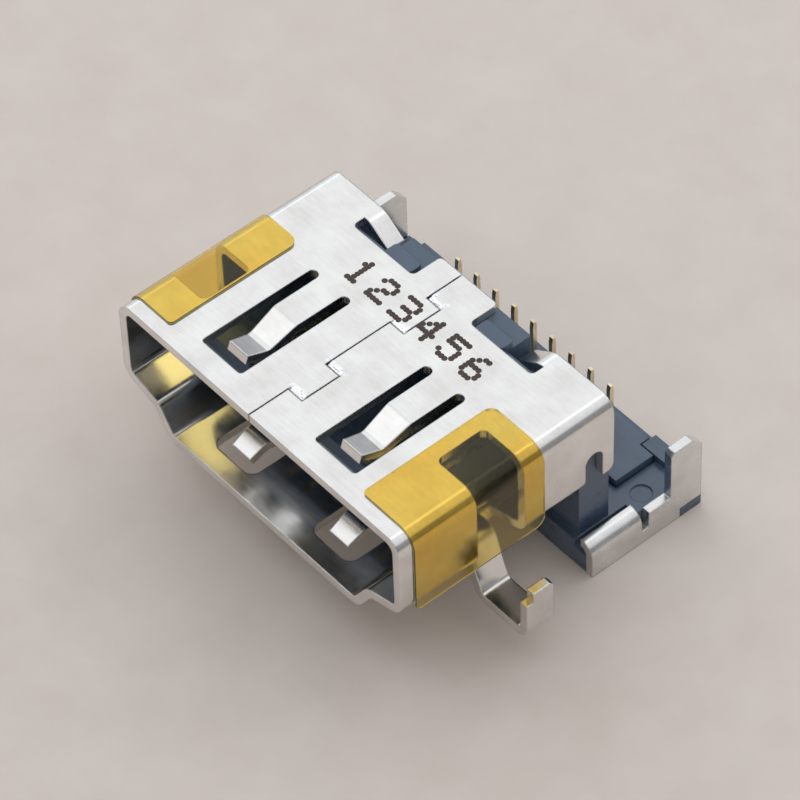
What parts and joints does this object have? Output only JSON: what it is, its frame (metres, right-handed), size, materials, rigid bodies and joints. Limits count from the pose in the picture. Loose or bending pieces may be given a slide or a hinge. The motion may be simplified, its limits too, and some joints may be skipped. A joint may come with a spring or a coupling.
{
  "type": "hdmi socket",
  "caption": "Board-edge video socket: a folded metal shell with springs and board legs around a contact tongue, on a moulded base with upright solder tails and side brackets.",
  "frame": {"origin": "on the board seat, the upper face of the tail spacer, in the middle of the width and midway between the two rows of tails", "axes": "+Z out of the board seat, the way the tails and legs point; the mouth faces -Y; +X to the right as seen from the mouth with the tails up"},
  "size_m": [0.0184, 0.0131, 0.0076],
  "materials": {
    "shell_metal": "satin nickel plate",
    "bracket_metal": "satin tin plate",
    "housing_plastic": "moulded, fine grain",
    "spacer_plastic": "moulded, fine grain",
    "film": "clear amber film",
    "contact_metal": "gold plate"
  },
  "bodies": {
    "root": {"shell": "shell_metal", "housing": "housing_plastic", "tail_spacer": "spacer_plastic", "bracket_left": "bracket_metal", "bracket_right": "bracket_metal", "tape_left": "film", "tape_right": "film", "contact_01": "contact_metal", "contact_02": "contact_metal", "contact_03": "contact_metal", "contact_04": "contact_metal", "contact_05": "contact_metal", "contact_06": "contact_metal", "contact_07": "contact_metal", "contact_08": "contact_metal", "contact_09": "contact_metal", "contact_10": "contact_metal", "contact_11": "contact_metal", "contact_12": "contact_metal", "contact_13": "contact_metal", "contact_14": "contact_metal", "contact_15": "contact_metal", "contact_16": "contact_metal", "contact_17": "contact_metal", "contact_18": "contact_metal", "contact_19": "contact_metal"}
  },
  "joints": []
}
